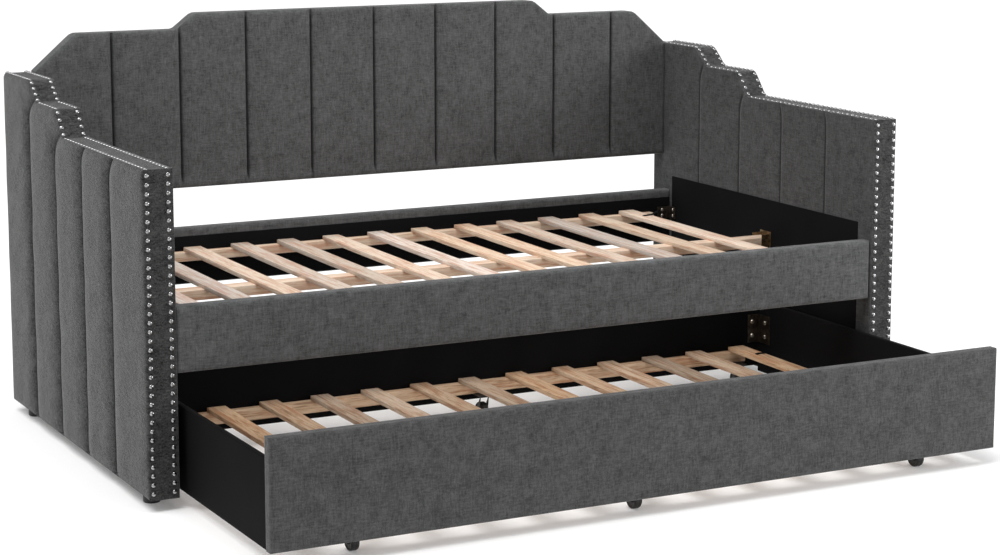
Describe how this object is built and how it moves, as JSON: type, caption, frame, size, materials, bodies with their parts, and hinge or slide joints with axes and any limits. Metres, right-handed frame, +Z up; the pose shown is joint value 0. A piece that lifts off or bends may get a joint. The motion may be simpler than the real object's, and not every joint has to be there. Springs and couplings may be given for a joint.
{
  "type": "trundle bed",
  "caption": "Upholstered daybed with channel-tufted back and stepped arms, slatted deck and a roll-out trundle with its own slats on casters.",
  "frame": {"origin": "on the floor, at the middle of the whole bed's length and of its depth with the trundle pulled out as at rest", "axes": "+X along the bed towards the right arm as seen from the front, +Y towards the back panel, +Z up; the trundle rolls out towards -Y"},
  "size_m": [2.09, 1.668, 1.06],
  "materials": {
    "fabric": "dark grey chenille upholstery, matte with a soft sheen",
    "lining": "black non-woven dust cloth, matte",
    "deck_wood": "pale planed pine, unfinished",
    "trundle_wood": "tan planed pine, unfinished",
    "black_board": "board covered in black cloth, matte",
    "bracket_steel": "dull yellow-passivated steel",
    "caster_steel": "black painted steel",
    "caster_wheel": "black plastic",
    "foot": "black plastic",
    "nailhead": "polished nailheads"
  },
  "bodies": {
    "daybed": {"left_arm": "fabric", "right_arm": "fabric", "back_panel": "fabric", "front_rail": "fabric", "back_rail": "fabric", "front_left_foot": "foot", "front_right_foot": "foot", "rear_left_foot": "foot", "rear_right_foot": "foot", "front_cleat": "deck_wood", "back_cleat": "deck_wood", "centre_beam": "deck_wood", "slat_01": "deck_wood", "slat_02": "deck_wood", "slat_03": "deck_wood", "slat_04": "deck_wood", "slat_05": "deck_wood", "slat_06": "deck_wood", "slat_07": "deck_wood", "slat_08": "deck_wood", "slat_09": "deck_wood", "slat_10": "deck_wood", "slat_11": "deck_wood", "slat_12": "deck_wood", "slat_13": "deck_wood", "left_beam_hanger": "bracket_steel", "right_beam_hanger": "bracket_steel"},
    "trundle": {"trundle_front": "fabric", "trundle_left_side": "black_board", "trundle_right_side": "black_board", "trundle_back": "black_board", "trundle_front_cleat": "trundle_wood", "trundle_back_cleat": "trundle_wood", "trundle_centre_beam": "trundle_wood", "trundle_slat_01": "trundle_wood", "trundle_slat_02": "trundle_wood", "trundle_slat_03": "trundle_wood", "trundle_slat_04": "trundle_wood", "trundle_slat_05": "trundle_wood", "trundle_slat_06": "trundle_wood", "trundle_slat_07": "trundle_wood", "trundle_slat_08": "trundle_wood", "trundle_slat_09": "trundle_wood", "trundle_slat_10": "trundle_wood", "trundle_slat_11": "trundle_wood", "trundle_slat_12": "trundle_wood", "trundle_slat_13": "trundle_wood", "caster_fork_front_left": "caster_steel", "caster_fork_front_middle": "caster_steel", "caster_fork_front_right": "caster_steel", "caster_fork_rear_left": "caster_steel", "caster_fork_rear_middle": "caster_steel", "caster_fork_rear_right": "caster_steel"},
    "wheel_front_left": {"caster_wheel_front_left": "caster_wheel"},
    "wheel_front_middle": {"caster_wheel_front_middle": "caster_wheel"},
    "wheel_front_right": {"caster_wheel_front_right": "caster_wheel"},
    "wheel_rear_left": {"caster_wheel_rear_left": "caster_wheel"},
    "wheel_rear_middle": {"caster_wheel_rear_middle": "caster_wheel"},
    "wheel_rear_right": {"caster_wheel_rear_right": "caster_wheel"}
  },
  "joints": [
    {"name": "trundle_slide", "type": "slide", "parent": "daybed", "child": "trundle", "axis": [0, -1, 0], "range_m": [-0.541, 0.48]},
    {"name": "wheel_front_left_spin", "type": "hinge", "parent": "trundle", "child": "wheel_front_left", "pos_m": [-0.745, -0.76, 0.024], "axis": [1, 0, 0], "continuous": true},
    {"name": "wheel_front_middle_spin", "type": "hinge", "parent": "trundle", "child": "wheel_front_middle", "pos_m": [-0.031, -0.76, 0.024], "axis": [1, 0, 0], "continuous": true},
    {"name": "wheel_front_right_spin", "type": "hinge", "parent": "trundle", "child": "wheel_front_right", "pos_m": [0.775, -0.76, 0.024], "axis": [1, 0, 0], "continuous": true},
    {"name": "wheel_rear_left_spin", "type": "hinge", "parent": "trundle", "child": "wheel_rear_left", "pos_m": [-0.842, 0.154, 0.024], "axis": [1, 0, 0], "continuous": true},
    {"name": "wheel_rear_middle_spin", "type": "hinge", "parent": "trundle", "child": "wheel_rear_middle", "pos_m": [0.036, 0.154, 0.024], "axis": [1, 0, 0], "continuous": true},
    {"name": "wheel_rear_right_spin", "type": "hinge", "parent": "trundle", "child": "wheel_rear_right", "pos_m": [0.842, 0.154, 0.024], "axis": [1, 0, 0], "continuous": true}
  ],
  "couplings": [
    {"joint": "wheel_front_left_spin", "follows": "trundle_slide", "rad_per_m": 41.667},
    {"joint": "wheel_front_middle_spin", "follows": "trundle_slide", "rad_per_m": 41.667},
    {"joint": "wheel_front_right_spin", "follows": "trundle_slide", "rad_per_m": 41.667},
    {"joint": "wheel_rear_left_spin", "follows": "trundle_slide", "rad_per_m": 41.667},
    {"joint": "wheel_rear_middle_spin", "follows": "trundle_slide", "rad_per_m": 41.667},
    {"joint": "wheel_rear_right_spin", "follows": "trundle_slide", "rad_per_m": 41.667}
  ]
}
